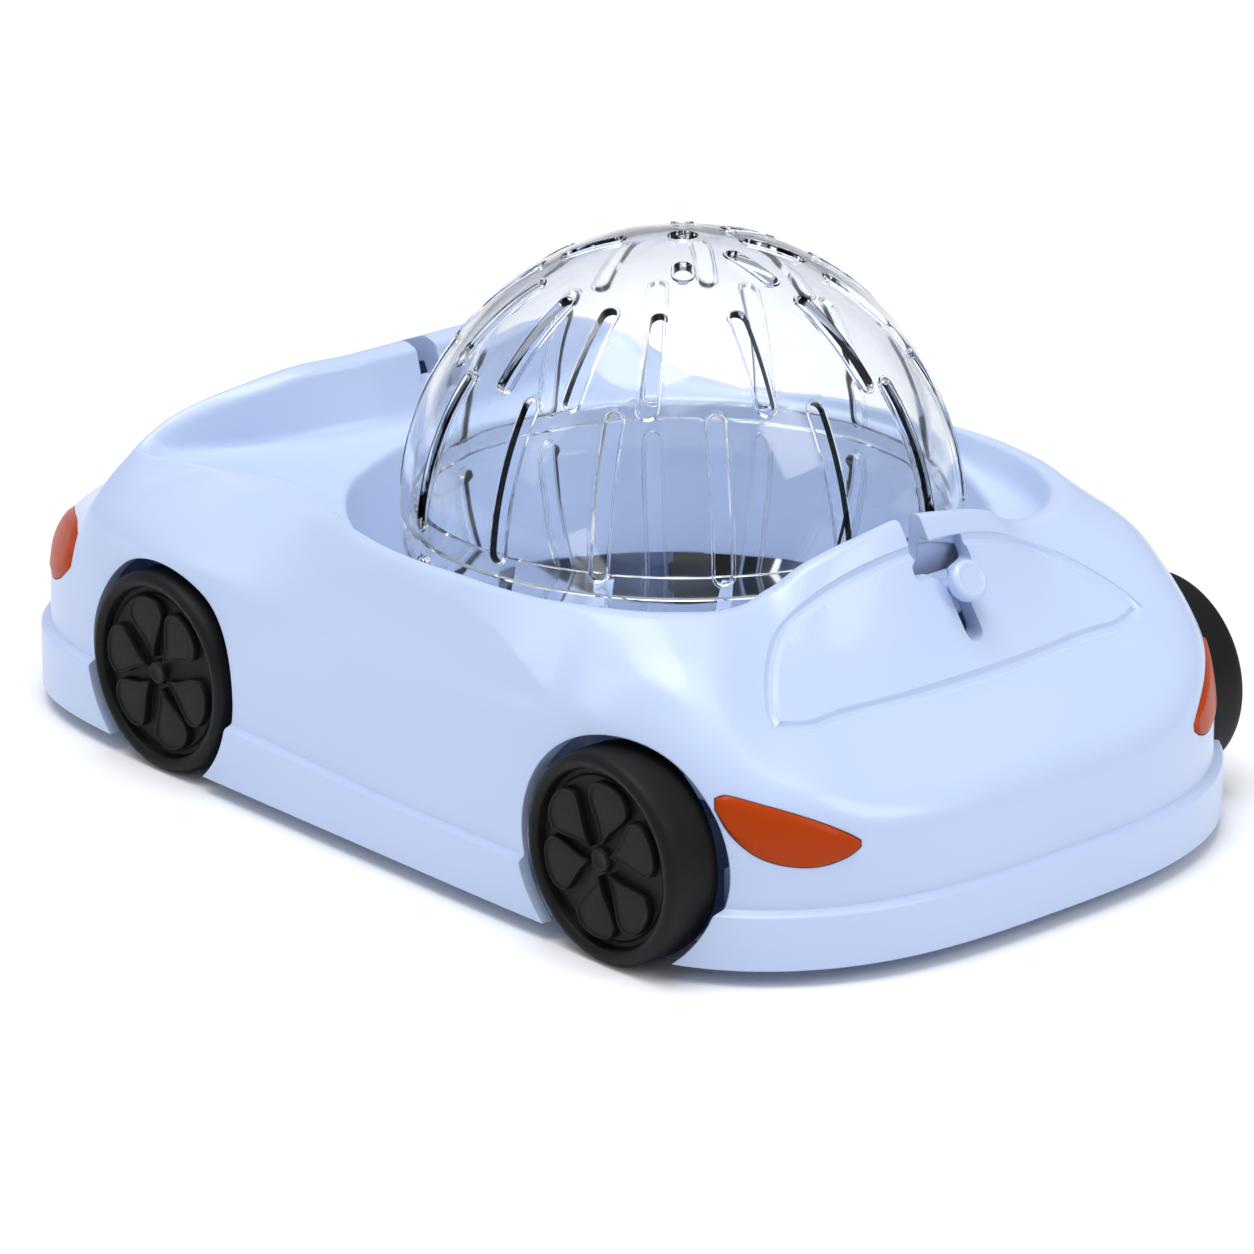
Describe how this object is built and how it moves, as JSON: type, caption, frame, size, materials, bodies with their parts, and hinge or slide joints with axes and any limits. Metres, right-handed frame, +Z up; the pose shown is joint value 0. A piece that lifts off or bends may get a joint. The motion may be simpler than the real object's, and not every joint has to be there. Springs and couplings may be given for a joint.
{
  "type": "toy racing car",
  "caption": "Open toy racing car with a round cockpit well that carries a clear slotted exercise ball, moulded wheels, lamps and a sliding ball keeper.",
  "frame": {"origin": "on the ground, midway between nose and tail on the centre line", "axes": "+X to the nose, +Y to the car's left, +Z up"},
  "size_m": [0.264, 0.1664, 0.1199],
  "materials": {
    "body_blue": "light blue moulded plastic, soft gloss",
    "wheel_black": "black moulded plastic, satin",
    "lamp_orange": "burnt orange tinted plastic, glossy",
    "clear_plastic": "clear polished plastic",
    "axle_steel": "bright steel wire"
  },
  "bodies": {
    "car": {"body_shell": "body_blue", "chassis_tray": "body_blue", "headlamp_left": "lamp_orange", "headlamp_right": "lamp_orange", "tail_lamp_left": "lamp_orange", "tail_lamp_right": "lamp_orange", "axle_cap_front_left": "body_blue", "axle_cap_front_right": "body_blue", "axle_cap_rear_left": "body_blue", "axle_cap_rear_right": "body_blue", "screw_front_left": "axle_steel", "screw_front_right": "axle_steel", "screw_middle_left": "axle_steel", "screw_middle_right": "axle_steel", "screw_rear_left": "axle_steel", "screw_rear_right": "axle_steel"},
    "front_wheelset": {"front_axle": "axle_steel", "wheel_front_left": "wheel_black", "wheel_front_right": "wheel_black"},
    "rear_wheelset": {"rear_axle": "axle_steel", "wheel_rear_left": "wheel_black", "wheel_rear_right": "wheel_black"},
    "ball_lower_half": {"ball_lower": "clear_plastic"},
    "ball_upper_half": {"ball_upper": "clear_plastic"},
    "keeper": {"keeper_knob": "body_blue", "keeper_plate": "body_blue"}
  },
  "joints": [
    {"name": "front_axle_spin", "type": "hinge", "parent": "car", "child": "front_wheelset", "pos_m": [0.0595, 0, 0.0225], "axis": [0, 1, 0], "continuous": true},
    {"name": "rear_axle_spin", "type": "hinge", "parent": "car", "child": "rear_wheelset", "pos_m": [-0.0835, 0, 0.0225], "axis": [0, 1, 0], "continuous": true},
    {"name": "ball_roll", "type": "hinge", "parent": "car", "child": "ball_lower_half", "pos_m": [-0.014, -0.0034, 0.06], "axis": [0, 1, 0], "continuous": true},
    {"name": "ball_open", "type": "slide", "parent": "ball_lower_half", "child": "ball_upper_half", "axis": [0, 0, 1], "range_m": [0, 0.0025]},
    {"name": "keeper_slide", "type": "slide", "parent": "car", "child": "keeper", "axis": [-0.5208, 0, -0.8537], "range_m": [0, 0.0055]}
  ]
}
